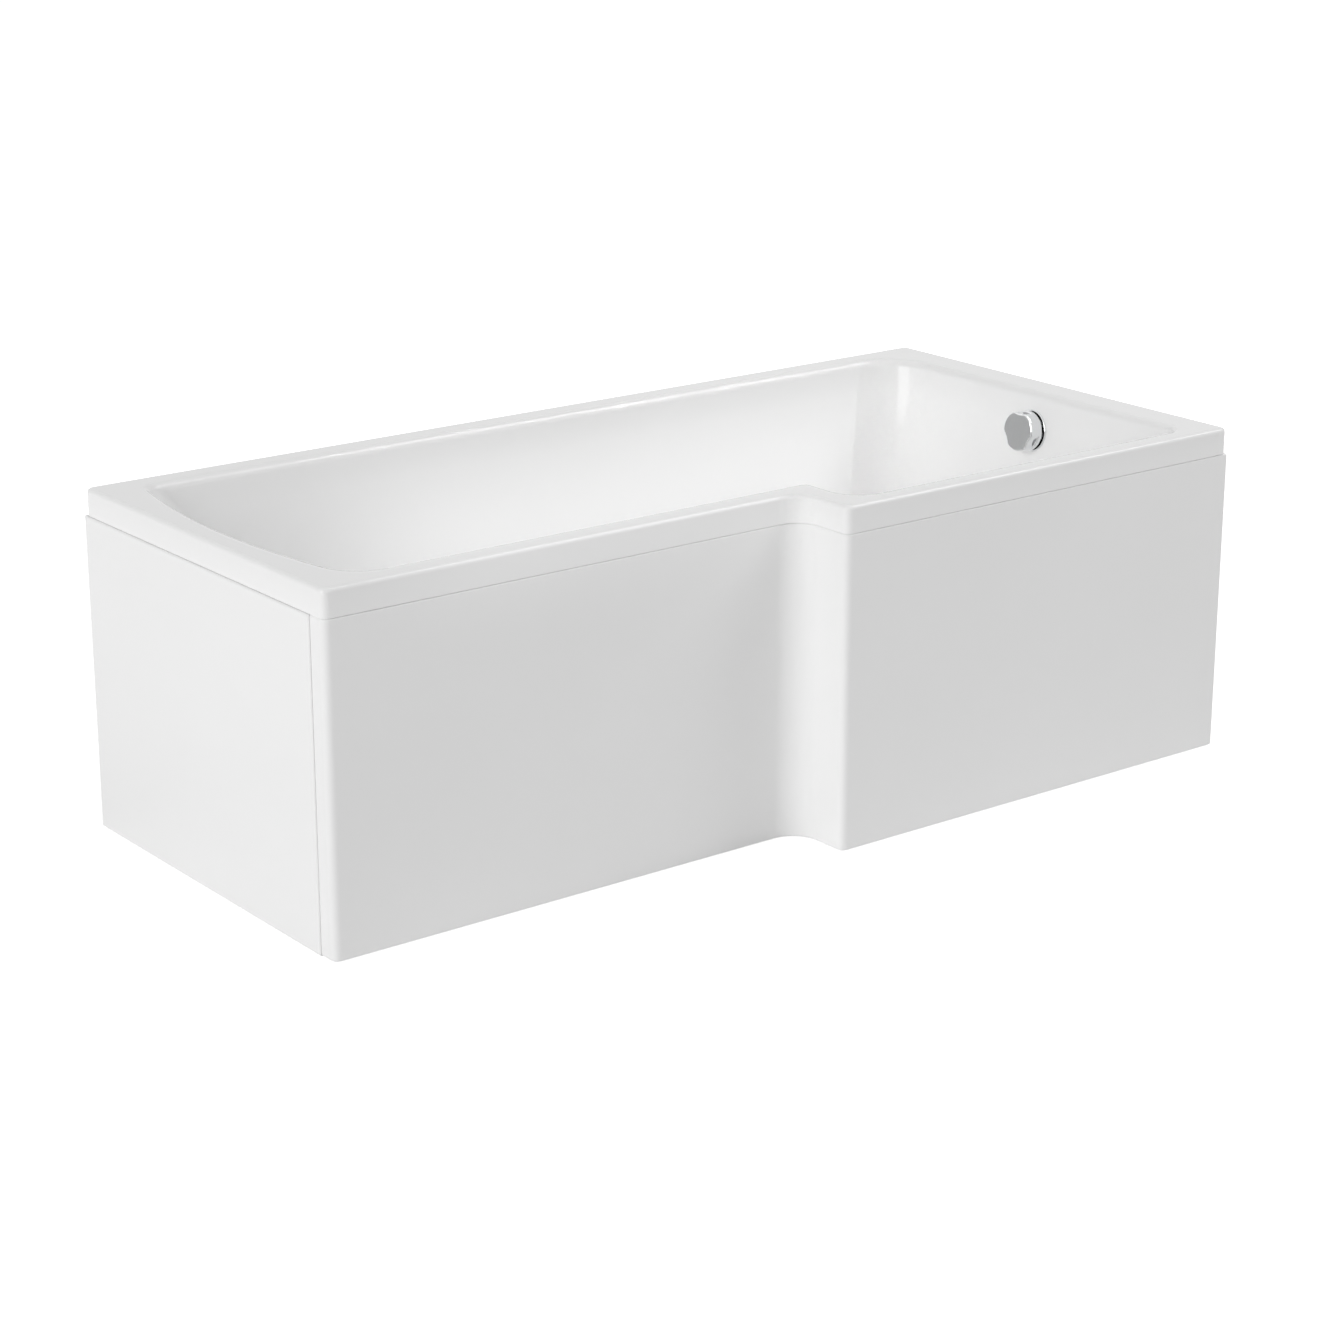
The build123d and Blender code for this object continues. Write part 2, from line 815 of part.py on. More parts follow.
# End panel: a shallow tray standing a little proud of the front panel's return
end_face = left_x - end_panel_proud
end_low = (end_face, narrow_y + return_width + panel_joint_gap, panel_floor_gap)
end_high = (end_face + panel_flange, back_y, panel_top)
with BuildPart() as end_panel:
    add(bar(end_low, end_high))
    fillet(end_panel.faces().sort_by(Axis.X)[0].edges(), panel_edge_radius)
    add(
        bar(
            tuple(place + panel_thickness for place in end_low),
            (end_high[0] + panel_thickness, end_high[1] - panel_thickness, panel_top - panel_thickness),
        ),
        mode=Mode.SUBTRACT,
    )
save(end_panel.part, "end_panel")

# Wooden strips on the panels' bottom flanges
strip_low = panel_floor_gap + panel_thickness + bond_gap
strip_high = strip_low + panel_batten_height
strip_in = panel_thickness + bond_gap
strip_out = strip_in + panel_batten_depth
strip_end = panel_thickness + panel_batten_end_gap
with BuildPart() as panel_batten_narrow:
    add(
        bar(
            (left_x + strip_end, narrow_y + strip_in, strip_low),
            (step_x - step_corner_radius - panel_batten_end_gap, narrow_y + strip_out, strip_high),
        )
    )
save(panel_batten_narrow.part, "panel_batten_narrow")

with BuildPart() as panel_batten_wide:
    add(
        bar(
            (step_x + strip_end, wide_y + strip_in, strip_low),
            (right_x - panel_batten_end_gap, wide_y + strip_out, strip_high),
        )
    )
save(panel_batten_wide.part, "panel_batten_wide")

with BuildPart() as panel_batten_end:
    add(
        bar(
            (end_face + strip_in, end_low[1] + strip_end, strip_low),
            (end_face + strip_out, back_y - strip_end, strip_high),
        )
    )
save(panel_batten_end.part, "panel_batten_end")

# Overflow: flange with water slots round the knob's bearing, screwed into an elbow behind the wall
hub_front = bond_gap + overflow_flange_thickness + overflow_hub_front
spindle_bore = spindle_radius + fit_gap
with BuildPart() as overflow_flange:
    disc = overflow_plane.offset(bond_gap)
    add(ring(disc, overflow_flange_radius, overflow_thread_bore, overflow_flange_thickness))
    fillet(front_circle(overflow_flange), overflow_flange_edge)
    thread = disc.offset(-overflow_thread_length)
    add(ring(thread, overflow_thread_radius, overflow_thread_bore, overflow_thread_length))
    hub = overflow_plane.offset(hub_front - overflow_hub_length)
    add(ring(hub, overflow_hub_radius, spindle_bore, overflow_hub_length))
    with BuildSketch(disc):
        with PolarLocations((overflow_hub_radius + overflow_thread_bore) / 2, 3, start_angle=30):
            Rectangle(overflow_thread_bore - overflow_hub_radius + 2 * rib_root, spoke_width)
    extrude(amount=overflow_flange_thickness)
save(overflow_flange.part, "overflow_flange")

with BuildPart() as overflow_gasket:
    behind = overflow_plane.offset(-backing_out - bond_gap - gasket_thickness)
    add(ring(behind, elbow_flange_radius, overflow_thread_radius + bond_gap, gasket_thickness))
save(overflow_gasket.part, "overflow_gasket")

elbow_front = -backing_out - 2 * bond_gap - gasket_thickness
cup_centre = overflow_plane.origin + overflow_plane.z_dir * (elbow_front - elbow_pipe_depth)
pipe_x = cup_centre.X
cable_y = overflow_y - cable_offset
socket_radius = pipe_radius + fit_gap + pipe_socket_wall
socket_bottom = cup_centre.Z - elbow_radius - pipe_socket_length
gland_bottom = cup_centre.Z - cable_gland_inset - cable_gland_length
with BuildPart() as overflow_elbow:
    cup_end = overflow_plane.offset(elbow_front - elbow_depth)
    rim = overflow_plane.offset(elbow_front - elbow_flange_thickness)
    socket = Plane(origin=(pipe_x, overflow_y, socket_bottom))
    gland = Plane(origin=(pipe_x, cable_y, gland_bottom))
    add(ring(rim, elbow_flange_radius, 0, elbow_flange_thickness))
    add(ring(cup_end, elbow_radius, 0, elbow_depth))
    add(ring(socket, socket_radius, 0, cup_centre.Z - socket_bottom))
    add(ring(gland, cable_gland_radius, 0, cable_gland_length))
    cup_depth = elbow_depth - elbow_wall - elbow_flange_thickness
    add(ring(cup_end.offset(elbow_wall), elbow_radius - elbow_wall, 0, cup_depth), mode=Mode.SUBTRACT)
    through = ring(rim, overflow_thread_radius + fit_gap, 0, elbow_flange_thickness)
    add(through, mode=Mode.SUBTRACT)
    add(ring(socket, pipe_radius + fit_gap, 0, pipe_insert + bond_gap), mode=Mode.SUBTRACT)
    add(ring(socket, pipe_bore, 0, cup_centre.Z - socket_bottom), mode=Mode.SUBTRACT)
    add(ring(gland, cable_radius + fit_gap, 0, cable_insert + bond_gap), mode=Mode.SUBTRACT)
save(overflow_elbow.part, "overflow_elbow")

# Knob, hollow at the back, on a spindle that winds the cable on a drum
knob_back = overflow_plane.offset(knob_stand_off)


def round_point(radius, degrees):
    return (radius * math.cos(math.radians(degrees)), radius * math.sin(math.radians(degrees)))


with BuildPart() as knob_grip:
    with BuildSketch(knob_back) as outline:
        with BuildLine():
            for middle in (90, 210, 330):
                start = round_point(knob_radius, middle - knob_hollow_half_angle)
                deep = round_point(knob_radius - knob_hollow_depth, middle)
                end = round_point(knob_radius, middle + knob_hollow_half_angle)
                ThreePointArc(start, deep, end)
                crown = round_point(knob_radius, middle + 60)
                after = round_point(knob_radius, middle + 120 - knob_hollow_half_angle)
                ThreePointArc(end, crown, after)
        make_face()
        fillet(outline.vertices(), knob_corner_radius)
    extrude(amount=knob_height)
    fillet(knob_grip.faces().sort_by(overflow_axis)[-1].edges(), knob_edge_radius)

with BuildPart() as overflow_knob:
    add(ring(knob_back, knob_radius, 0, knob_skirt))
    fillet(front_circle(overflow_knob), knob_edge_radius)
    add(knob_grip.part)
    room = knob_radius - knob_hollow_depth - knob_wall
    add(ring(knob_back, room, knob_boss_radius, knob_height - knob_face), mode=Mode.SUBTRACT)
    add(ring(knob_back, spindle_bore, 0, knob_height - knob_face), mode=Mode.SUBTRACT)
save(overflow_knob.part, "overflow_knob")

spindle_end = overflow_plane.offset(-spindle_reach)
with BuildPart() as knob_spindle:
    spindle_length = spindle_reach + knob_stand_off + knob_height - knob_face - fit_gap
    add(ring(spindle_end, spindle_radius, 0, spindle_length))
save(knob_spindle.part, "knob_spindle")

with BuildPart() as cable_drum:
    add(ring(spindle_end, plug_lift / math.radians(knob_turn_degrees), spindle_bore, drum_width))
save(cable_drum.part, "cable_drum")

# Waste: flange and stem through the floor, with a spider that guides the lift pin
flange_bottom = floor_height + bond_gap
stem_bottom = flange_bottom - waste_stem_length
with BuildPart() as waste_flange:
    top_disc = Plane(origin=(waste_x, waste_y, flange_bottom))
    stem = Plane(origin=(waste_x, waste_y, stem_bottom))
    add(ring(top_disc, waste_flange_radius, waste_stem_bore, waste_flange_height))
    top_edges = waste_flange.edges().filter_by(GeomType.CIRCLE).group_by(SortBy.RADIUS)[-1]
    fillet(top_edges.sort_by(Axis.Z)[-1], waste_flange_edge)
    add(ring(stem, waste_stem_radius, waste_stem_bore, waste_stem_length))
    add(ring(stem, waste_guide_radius, lift_pin_radius + fit_gap, waste_spider_height))
    with BuildSketch(stem):
        with PolarLocations((waste_guide_radius + waste_stem_bore) / 2, 3):
            Rectangle(waste_stem_bore - waste_guide_radius + 2 * rib_root, waste_spider_rib)
    extrude(amount=waste_spider_height)
save(waste_flange.part, "waste_flange")

with BuildPart() as waste_gasket:
    under = Plane(origin=(waste_x, waste_y, backing_bottom - bond_gap - gasket_thickness))
    add(ring(under, waste_gasket_radius, waste_stem_radius + bond_gap, gasket_thickness))
save(waste_gasket.part, "waste_gasket")

body_top = backing_bottom - 2 * bond_gap - gasket_thickness
body_floor = waste_body_bottom + tail_floor
socket_end = waste_x + waste_body_radius + pipe_socket_length
gland_end = waste_x + cable_gland_inset + cable_gland_length
with BuildPart() as waste_body:
    centre = Plane(origin=(waste_x, waste_y, 0))
    inlet = Plane(origin=(waste_x, waste_y, pipe_inlet_height), z_dir=(1, 0, 0))
    gland = Plane(origin=(gland_end, cable_y, pipe_inlet_height), z_dir=(-1, 0, 0))
    tail = centre.offset(waste_body_bottom - tail_length)
    rim = centre.offset(body_top - waste_body_flange_height)
    add(ring(rim, waste_body_flange_radius, 0, waste_body_flange_height))
    add(ring(centre.offset(waste_body_bottom), waste_body_radius, 0, body_top - waste_body_bottom))
    add(ring(tail, tail_radius, 0, tail_length))
    add(ring(inlet, socket_radius, 0, socket_end - waste_x))
    add(ring(gland, cable_gland_radius, 0, cable_gland_length))
    cavity = ring(centre.offset(body_floor), waste_stem_radius + fit_gap, 0, body_top - body_floor)
    add(cavity, mode=Mode.SUBTRACT)
    add(ring(tail, tail_bore, 0, tail_length + tail_floor), mode=Mode.SUBTRACT)
    add(ring(inlet, pipe_bore, 0, socket_end - waste_x), mode=Mode.SUBTRACT)
    pipe_seat = inlet.offset(socket_end - waste_x - pipe_insert - bond_gap)
    add(ring(pipe_seat, pipe_radius + fit_gap, 0, pipe_insert + bond_gap), mode=Mode.SUBTRACT)
    add(ring(gland, cable_radius + fit_gap, 0, cable_insert + bond_gap), mode=Mode.SUBTRACT)
save(waste_body.part, "waste_body")


def along(points, outer, inner):
    """Tube, or a rod when inner is 0, that runs down and then turns through a round bend."""
    with BuildPart() as tube:
        with BuildLine():
            FilletPolyline(*points, radius=pipe_bend_radius)
        with BuildSketch(Plane(origin=points[0], z_dir=(0, 0, -1))):
            Circle(outer)
            if inner > 0:
                Circle(inner, mode=Mode.SUBTRACT)
        sweep()
    return tube.part


with BuildPart() as overflow_pipe:
    pipe_run = [
        (pipe_x, overflow_y, socket_bottom + pipe_insert),
        (pipe_x, overflow_y, pipe_inlet_height),
        (socket_end - pipe_insert, overflow_y, pipe_inlet_height),
    ]
    add(along(pipe_run, pipe_radius, pipe_bore))
save(overflow_pipe.part, "overflow_pipe")

with BuildPart() as cable_sheath:
    cable_run = [
        (pipe_x, cable_y, gland_bottom + cable_insert),
        (pipe_x, cable_y, pipe_inlet_height),
        (gland_end - cable_insert, cable_y, pipe_inlet_height),
    ]
    add(along(cable_run, cable_radius, 0))
save(cable_sheath.part, "cable_sheath")

with BuildPart() as cable_clips:
    for turn in range(cable_clip_count):
        level = socket_bottom - cable_clip_first - turn * cable_clip_spacing
        on_pipe = Plane(origin=(pipe_x, overflow_y, level))
        on_cable = Plane(origin=(pipe_x, cable_y, level))
        add(ring(on_pipe, pipe_radius + fit_gap + cable_clip_wall, 0, cable_clip_height))
        add(ring(on_cable, cable_radius + fit_gap + cable_clip_wall, 0, cable_clip_height))
        add(ring(on_pipe, pipe_radius + fit_gap, 0, cable_clip_height), mode=Mode.SUBTRACT)
        add(ring(on_cable, cable_radius + fit_gap, 0, cable_clip_height), mode=Mode.SUBTRACT)
save(cable_clips.part, "cable_clips")

# Plug: a domed cap with a seal under it, carried by the lift pin
seal_bottom = flange_bottom + waste_flange_height + bond_gap
plug_bottom = seal_bottom + plug_seal_height + fit_gap
waste_axis = Axis((waste_x, waste_y, 0), (0, 0, 1))
with BuildPart() as waste_plug:
    with BuildSketch(Plane(origin=(waste_x, waste_y, plug_bottom), x_dir=(1, 0, 0), z_dir=(0, -1, 0))):
        with BuildLine():
            apex = (0, plug_rim_height + plug_dome_height)
            Polyline(apex, (0, 0), (plug_radius, 0), (plug_radius, plug_rim_height))
            TangentArc(apex, (plug_radius, plug_rim_height), tangent=(1, 0))
        make_face()
    revolve(axis=waste_axis)
    under = Plane(origin=(waste_x, waste_y, plug_bottom - plug_socket_length))
    add(ring(under, plug_socket_radius, lift_pin_radius + fit_gap, plug_socket_length))
save(waste_plug.part, "waste_plug")

with BuildPart() as plug_seal:
    seat = Plane(origin=(waste_x, waste_y, seal_bottom))
    add(ring(seat, plug_seal_radius, plug_seal_bore, plug_seal_height))
save(plug_seal.part, "plug_seal")

with BuildPart() as lift_pin:
    pin_end = Plane(origin=(waste_x, waste_y, plug_bottom - fit_gap - lift_pin_length))
    add(ring(pin_end, lift_pin_radius, 0, lift_pin_length))
save(lift_pin.part, "lift_pin")
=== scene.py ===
import json
import math

import bpy
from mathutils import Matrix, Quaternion, Vector


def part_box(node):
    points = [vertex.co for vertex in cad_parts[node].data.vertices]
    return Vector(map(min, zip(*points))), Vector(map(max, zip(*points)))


# L-shaped shower bath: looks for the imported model, in metres and in the model's own frame

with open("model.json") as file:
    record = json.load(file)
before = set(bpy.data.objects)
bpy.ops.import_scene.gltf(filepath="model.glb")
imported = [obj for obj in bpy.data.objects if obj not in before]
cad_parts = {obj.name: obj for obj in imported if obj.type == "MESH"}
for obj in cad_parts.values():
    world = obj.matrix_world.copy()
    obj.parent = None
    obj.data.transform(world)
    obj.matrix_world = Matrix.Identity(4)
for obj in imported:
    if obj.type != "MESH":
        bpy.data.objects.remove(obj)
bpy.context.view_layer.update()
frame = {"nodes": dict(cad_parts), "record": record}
nodes = frame["nodes"]
joints = frame["record"]["behaviour"]["joints"]
knob_axis = next(joint["axis"] for joint in joints if joint["name"] == "knob_turn")

# Most values of a noise texture lie between these two
NOISE_LOW, NOISE_HIGH = 0.3, 0.7

# The tub's colour goes from that of the basin, painted lighter as painted light for the light bounced
# inside it, to that of the rim between these heights
BASIN_TOP, DECK_FOOT = 0.50, 0.555

# Cosines to the knob's axis between which its rounded edge ends and its flat face starts
KNOB_EDGE, KNOB_FACE = 0.90, 0.995

# Strength of the world on the object, and of the floor's glow as the camera sees it
SKY_LEVEL = 0.35
FLOOR_GLOW = 0.72

FLOOR_SIZE = 60.0
FLOOR_LEVEL = -0.0005

CAMERA_PLACE = (-3.00036, -3.87689, 1.79853)
CAMERA_DOWN, CAMERA_HEADING = 17.88, -37.41
CAMERA_LENS, CAMERA_SENSOR = 85.46, 36.0
CAMERA_REACH = 50.0


# Node helpers


class Tree:
    """A material's node tree, with one short call per kind of node."""

    def __init__(self, name):
        self.material = bpy.data.materials.new(name)
        self.material.use_nodes = True
        self.tree = self.material.node_tree
        self.shader = self.tree.nodes["Principled BSDF"]
        self.coords = self.add("ShaderNodeTexCoord").outputs["Object"]

    def add(self, kind, **settings):
        node = self.tree.nodes.new(kind)
        for key, value in settings.items():
            setattr(node, key, value)
        return node

    def link(self, source, target):
        self.tree.links.new(source, target)

    def plain(self, **values):
        """Sets values that are the same all over on the shader's own sockets."""
        for key, value in values.items():
            self.shader.inputs[key.replace("_", " ")].default_value = value

    def stretched(self, scale):
        """Object coordinates with a scale of their own on each axis."""
        mapping = self.add("ShaderNodeMapping")
        mapping.inputs["Scale"].default_value = scale
        self.link(self.coords, mapping.inputs["Vector"])
        return mapping.outputs["Vector"]

    def noise(self, scale, detail=3.0, vector=None, distortion=0.0, rough=0.5):
        node = self.add("ShaderNodeTexNoise")
        node.inputs["Scale"].default_value = scale
        node.inputs["Detail"].default_value = detail
        node.inputs["Roughness"].default_value = rough
        node.inputs["Distortion"].default_value = distortion
        self.link(vector or self.coords, node.inputs["Vector"])
        return node.outputs["Fac"]

    def cells(self, scale, output="Color", vector=None):
        node = self.add("ShaderNodeTexVoronoi", feature="F1")
        node.inputs["Scale"].default_value = scale
        self.link(vector or self.coords, node.inputs["Vector"])
        return node.outputs[output]

    def ramp(self, source, stops):
        node = self.add("ShaderNodeValToRGB")
        ramp = node.color_ramp
        while len(ramp.elements) < len(stops):
            ramp.elements.new(0.5)
        for element, (place, colour) in zip(ramp.elements, stops):
            element.position = place
            element.color = (*colour, 1.0)
        self.link(source, node.inputs["Fac"])
        return node.outputs["Color"]

    def span(self, source, low, high, start=0.0, end=1.0):
        """Maps start..end of a value to low..high."""
        node = self.add("ShaderNodeMapRange")
        node.inputs["From Min"].default_value = start
        node.inputs["From Max"].default_value = end
        node.inputs["To Min"].default_value = low
        node.inputs["To Max"].default_value = high
        self.link(source, node.inputs["Value"])
        return node.outputs["Result"]

    def mix(self, factor, first, second, blend="MIX"):
        """Mixes two colours. Inputs 0, 6 and 7 and output 2 are the node's colour sockets."""
        node = self.add("ShaderNodeMix", data_type="RGBA", blend_type=blend)
        sockets = (node.inputs[0], node.inputs[6], node.inputs[7])
        for socket, value in zip(sockets, (factor, first, second)):
            if isinstance(value, bpy.types.NodeSocket):
                self.link(value, socket)
            else:
                socket.default_value = value
        return node.outputs[2]

    def bump(self, height, distance, strength=1.0):
        node = self.add("ShaderNodeBump")
        node.inputs["Distance"].default_value = distance
        node.inputs["Strength"].default_value = strength
        self.link(height, node.inputs["Height"])
        self.link(node.outputs["Normal"], self.shader.inputs["Normal"])

    def colour(self, source):
        self.link(source, self.shader.inputs["Base Color"])

    def roughness(self, source):
        self.link(source, self.shader.inputs["Roughness"])


def grey(value):
    """The same level in red, green and blue."""
    return (value, value, value)


def acrylic(name, outside, basin_level_with_painted_light, rough):
    """Gloss white sheet: a breath of tone, uneven polish and the faint waviness of a moulded skin, with a
    basin level of its own, which on the tub is painted light, lighter than the rim.
    """
    t = Tree(name)
    height = t.add("ShaderNodeSeparateXYZ")
    t.link(t.coords, height.inputs[0])
    # Painted light: below DECK_FOOT the basin takes its own, lighter level, standing in for light bounced
    # about inside the basin
    deck = t.span(height.outputs["Z"], 0.0, 1.0, BASIN_TOP, DECK_FOOT)
    tone = t.mix(deck, (*grey(basin_level_with_painted_light), 1.0), (*grey(outside), 1.0))
    tints = [(NOISE_LOW, (0.986, 0.986, 0.984)), (NOISE_HIGH, (1.0, 1.0, 0.999))]
    breath = t.ramp(t.noise(3.0, 2.0), tints)
    t.colour(t.mix(1.0, tone, breath, "MULTIPLY"))
    t.roughness(t.span(t.noise(26.0, 4.0), rough * 0.8, rough * 1.3, NOISE_LOW, NOISE_HIGH))
    t.bump(t.noise(9.0, 1.0), 0.0004, 0.35)
    t.plain(IOR=1.49, Specular_IOR_Level=0.32)
    return t.material


# The tub's basin level 0.975 is painted light, lighter than the rim's 0.93 of the same acrylic
white_tub = acrylic("tub_acrylic", 0.93, 0.975, 0.11)
white_panel = acrylic("panel_acrylic", 0.94, 0.94, 0.15)


def glass_fibre():
    """Resin over chopped strands, rough on the hidden side of the tub."""
    t = Tree("glass_fibre")
    strands = t.cells(95.0, "Distance", t.stretched((1.0, 2.6, 0.6)))
    crossed = t.cells(120.0, "Distance", t.stretched((2.4, 0.7, 1.6)))
    fibres = t.mix(0.5, strands, crossed)
    clouds = t.ramp(t.noise(7.0, 5.0), [(NOISE_LOW, (0.50, 0.52, 0.40)), (NOISE_HIGH, (0.70, 0.71, 0.60))])
    pale = t.ramp(fibres, [(0.1, (0.86, 0.87, 0.80)), (0.6, (0.55, 0.57, 0.47))])
    t.colour(t.mix(0.45, clouds, pale))
    t.roughness(t.span(t.noise(40.0, 3.0), 0.32, 0.62, NOISE_LOW, NOISE_HIGH))
    t.bump(fibres, 0.0016, 0.8)
    return t.material


def timber(name, along):
    """Sawn softwood with its grain along one axis."""
    t = Tree(name)
    scale = {"x": (1.2, 26.0, 30.0), "y": (26.0, 1.2, 30.0)}[along]
    run = t.stretched(scale)
    rings = t.noise(2.2, 3.0, run, 1.6)
    fine = t.noise(30.0, 4.0, t.stretched(tuple(part * 3 for part in scale)), 0.4)
    tints = [(NOISE_LOW, (0.42, 0.25, 0.12)), (0.48, (0.62, 0.43, 0.24)), (NOISE_HIGH, (0.74, 0.56, 0.35))]
    wood = t.ramp(rings, tints)
    dirt = t.ramp(fine, [(0.35, grey(0.72)), (0.65, grey(1.0))])
    t.colour(t.mix(0.6, wood, dirt, "MULTIPLY"))
    t.roughness(t.span(fine, 0.62, 0.85))
    t.bump(fine, 0.0006, 0.6)
    return t.material


def chipboard():
    """Pressed flakes of two sizes."""
    t = Tree("chipboard")
    flakes = t.cells(240.0, "Color", t.stretched((1.0, 1.7, 1.2)))
    small = t.cells(520.0, "Color")
    tone = t.ramp(flakes, [(0.1, (0.30, 0.19, 0.10)), (0.5, (0.52, 0.37, 0.21)), (0.9, (0.70, 0.54, 0.34))])
    specks = t.ramp(small, [(0.2, grey(0.7)), (0.6, grey(1.0))])
    t.colour(t.mix(0.7, tone, specks, "MULTIPLY"))
    t.roughness(t.span(t.noise(60.0), 0.7, 0.9))
    t.bump(flakes, 0.0004, 0.5)
    return t.material


def galvanised():
    """Zinc spangle on pressed steel."""
    t = Tree("galvanised_steel")
    spangle = t.cells(70.0, "Color")
    t.colour(t.ramp(spangle, [(0.0, grey(0.42)), (0.5, grey(0.55)), (1.0, grey(0.66))]))
    t.roughness(t.span(t.noise(45.0, 4.0), 0.34, 0.52, NOISE_LOW, NOISE_HIGH))
    t.bump(t.noise(180.0), 0.0002, 0.3)
    t.plain(Metallic=1.0)
    return t.material


def zinc():
    """Yellowish zinc plate of nuts, screws and studs."""
    t = Tree("zinc_plate")
    film = t.noise(35.0, 4.0)
    tints = [(NOISE_LOW, (0.60, 0.59, 0.52)), (0.5, (0.68, 0.66, 0.56)), (NOISE_HIGH, (0.62, 0.64, 0.62))]
    t.colour(t.ramp(film, tints))
    t.roughness(t.span(t.noise(150.0), 0.25, 0.42))
    t.plain(Metallic=1.0)
    return t.material


def plastic(name, colour, rough, grain=0.0003):
    """Moulded plastic with a fine grain."""
    t = Tree(name)
    darker = tuple(part * 0.88 for part in colour)
    t.colour(t.ramp(t.noise(14.0, 3.0), [(0.35, darker), (0.65, colour)]))
    t.roughness(t.span(t.noise(60.0), rough * 0.85, rough * 1.2))
    t.bump(t.noise(420.0, 2.0), grain, 0.35)
    return t.material


def metal(name, colour, rough):
    """Polished plate: faint haze."""
    t = Tree(name)
    darker = tuple(part * 0.96 for part in colour)
    t.colour(t.ramp(t.noise(22.0, 2.0), [(NOISE_LOW, darker), (NOISE_HIGH, colour)]))
    haze = t.noise(80.0, 5.0, rough=0.7)
    t.roughness(t.span(haze, rough * 0.6, rough * 1.6, NOISE_LOW, NOISE_HIGH))
    t.plain(Metallic=1.0)
    return t.material


def rubber():
    """Dull black rubber of the seals."""
    t = Tree("rubber")
    t.colour(t.ramp(t.noise(50.0, 4.0), [(NOISE_LOW, grey(0.022)), (NOISE_HIGH, grey(0.045))]))
    t.roughness(t.span(t.noise(120.0), 0.5, 0.75))
    t.bump(t.noise(500.0), 0.0002, 0.4)
    return t.material


chrome = metal("chrome", (0.80, 0.81, 0.82), 0.06)
brass = metal("brass", (0.72, 0.55, 0.26), 0.22)


def knob_chrome():
    """Polished chrome with a satin face turned to the bather, whose dark grey colour is a painted
    reflection.
    """
    t = Tree("knob_chrome")
    facing = t.add("ShaderNodeVectorMath", operation="DOT_PRODUCT")
    t.link(t.add("ShaderNodeTexCoord").outputs["Normal"], facing.inputs[0])
    facing.inputs[1].default_value = tuple(knob_axis)
    face = t.span(facing.outputs["Value"], 0.0, 1.0, KNOB_EDGE, KNOB_FACE)
    # Painted reflection: the flat face gets a dark grey colour that stands in for the dark surroundings its
    # chrome mirrors
    tone = t.mix(face, (0.82, 0.83, 0.84, 1.0), (0.44, 0.445, 0.45, 1.0))
    film = t.ramp(t.noise(22.0, 2.0), [(NOISE_LOW, grey(0.95)), (NOISE_HIGH, grey(1.0))])
    t.colour(t.mix(1.0, tone, film, "MULTIPLY"))
    t.roughness(t.span(face, 0.06, 0.20))
    t.plain(Metallic=1.0)
    return t.material


timber_x = timber("timber_x", "x")
timber_y = timber("timber_y", "y")
white_plastic = plastic("white_polypropylene", (0.80, 0.80, 0.78), 0.38)
black_plastic = plastic("black_nylon", grey(0.030), 0.45)
grey_plastic = plastic("grey_nylon", grey(0.17), 0.45)
zinc_plate = zinc()
looks = {
    "acrylic_white": white_tub,
    "panel_white": white_panel,
    "glass_fibre": glass_fibre(),
    "timber": timber_x,
    "chipboard": chipboard(),
    "galvanised_steel": galvanised(),
    "fixing_steel": zinc_plate,
    "black_plastic": black_plastic,
    "grey_plastic": grey_plastic,
    "white_plastic": white_plastic,
    "rubber_black": rubber(),
    "chrome": chrome,
    "brass": brass,
}
knob_look = knob_chrome()

# Every node gets the look of its material slot, and timber the grain that runs along the piece
slot_of = {entry["node"]: entry["material_slot"] for entry in frame["record"]["subparts"]}
for name, node in nodes.items():
    look = looks[slot_of[name]]
    if name == "overflow_knob":
        look = knob_look
    if slot_of[name] == "timber":
        low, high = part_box(name)
        look = timber_x if high.x - low.x > high.y - low.y else timber_y
    node.data.materials.clear()
    node.data.materials.append(look)

# Camera at the photograph's angle
camera_data = bpy.data.cameras.new("camera")
camera_data.lens = CAMERA_LENS
camera_data.sensor_width = CAMERA_SENSOR
camera_data.clip_end = CAMERA_REACH
camera = bpy.data.objects.new("camera", camera_data)
camera.location = CAMERA_PLACE
camera.rotation_euler = (math.radians(90 - CAMERA_DOWN), 0.0, math.radians(CAMERA_HEADING))
bpy.context.scene.collection.objects.link(camera)
bpy.context.scene.camera = camera


def seen_directly(tree):
    """1 for camera, glossy and transmission rays, and 0 for the light that falls on the object."""
    path = tree.nodes.new("ShaderNodeLightPath")
    total = path.outputs["Is Camera Ray"]
    for name in ("Is Glossy Ray", "Is Transmission Ray"):
        either = tree.nodes.new("ShaderNodeMath")
        either.operation = "MAXIMUM"
        tree.links.new(total, either.inputs[0])
        tree.links.new(path.outputs[name], either.inputs[1])
        total = either.outputs[0]
    return total


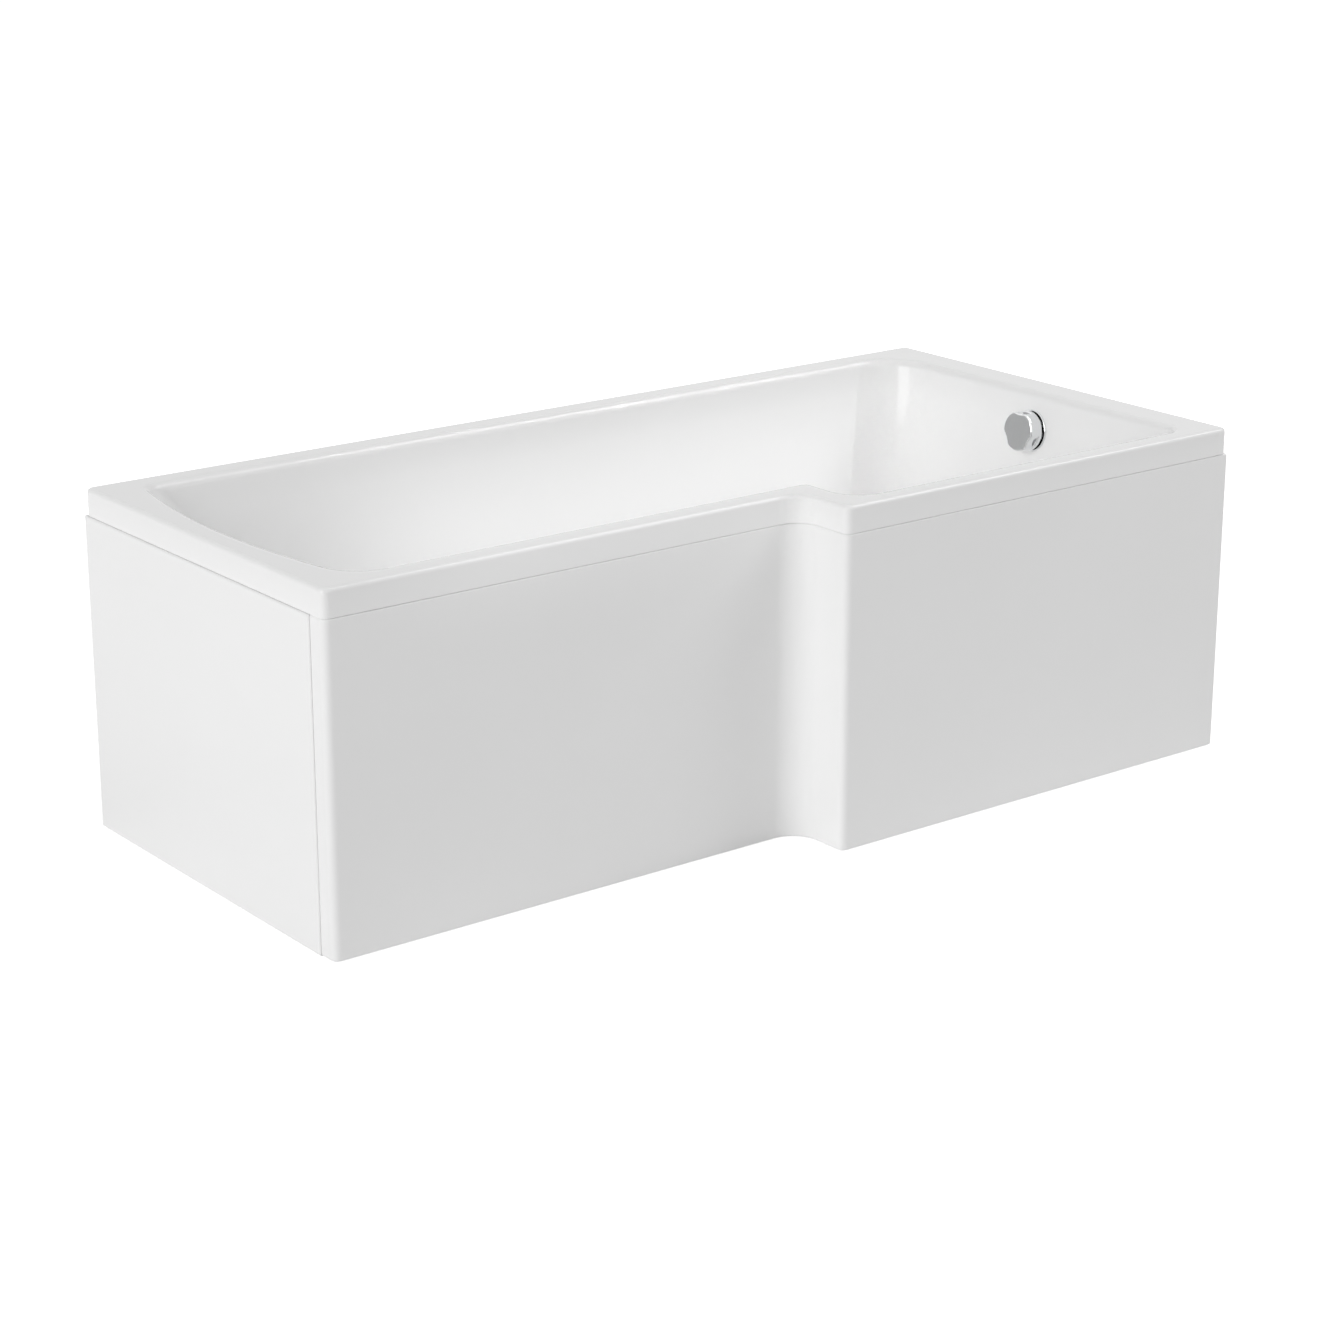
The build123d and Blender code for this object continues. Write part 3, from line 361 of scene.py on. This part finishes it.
# Pale floor that shows white to the camera and in reflections, and keeps the shadow
bpy.ops.mesh.primitive_plane_add(size=FLOOR_SIZE, location=(0.0, 0.0, FLOOR_LEVEL))
floor = bpy.context.object
floor.name = "floor"
pale = Tree("floor_pale")
pale.colour(pale.ramp(pale.noise(1.5, 2.0), [(NOISE_LOW, grey(0.80)), (NOISE_HIGH, grey(0.82))]))
pale.plain(Roughness=0.9, Specular_IOR_Level=0.0)
glow = pale.add("ShaderNodeMath", operation="MULTIPLY")
pale.link(seen_directly(pale.tree), glow.inputs[0])
glow.inputs[1].default_value = FLOOR_GLOW
pale.plain(Emission_Color=(1.0, 1.0, 1.0, 1.0))
pale.link(glow.outputs[0], pale.shader.inputs["Emission Strength"])
floor.data.materials.append(pale.material)

# World: white where it is seen, softer where it lights the object
world = bpy.data.worlds.new("studio")
bpy.context.scene.world = world
world.use_nodes = True
background = world.node_tree.nodes["Background"]
background.inputs["Color"].default_value = (1.0, 1.0, 1.0, 1.0)
level = world.node_tree.nodes.new("ShaderNodeMapRange")
level.inputs["To Min"].default_value = SKY_LEVEL
level.inputs["To Max"].default_value = 1.0
world.node_tree.links.new(seen_directly(world.node_tree), level.inputs["Value"])
world.node_tree.links.new(level.outputs["Result"], background.inputs["Strength"])


def lamp(name, place, target, size, watts, spread=180.0, roll=0.0):
    """A soft rectangular lamp, with its spread and its roll about the beam in degrees."""
    data = bpy.data.lights.new(name, "AREA")
    data.shape = "RECTANGLE"
    data.size, data.size_y = size
    data.energy = watts
    data.spread = math.radians(spread)
    light = bpy.data.objects.new(name, data)
    light.location = place
    aim = Vector(target) - Vector(place)
    turned = aim.to_track_quat("-Z", "Y") @ Quaternion((0.0, 0.0, 1.0), math.radians(roll))
    light.rotation_euler = turned.to_euler()
    bpy.context.scene.collection.objects.link(light)


lamp("left_softbox", (-12.5, -3.0, 4.2), (0.0, 0.0, 0.4), (7.0, 7.0), 790.0)
lamp("top_softbox", (5.4, -2.5, 7.0), (0.0, 0.0, 0.4), (4.2, 4.2), 286.0)
lamp("basin_grid", (-1.9, -3.3, 2.5), (0.1, 0.2, 0.455), (1.0, 0.18), 0.23, 6.0, 17.0)

bpy.context.scene.view_settings.view_transform = "Standard"
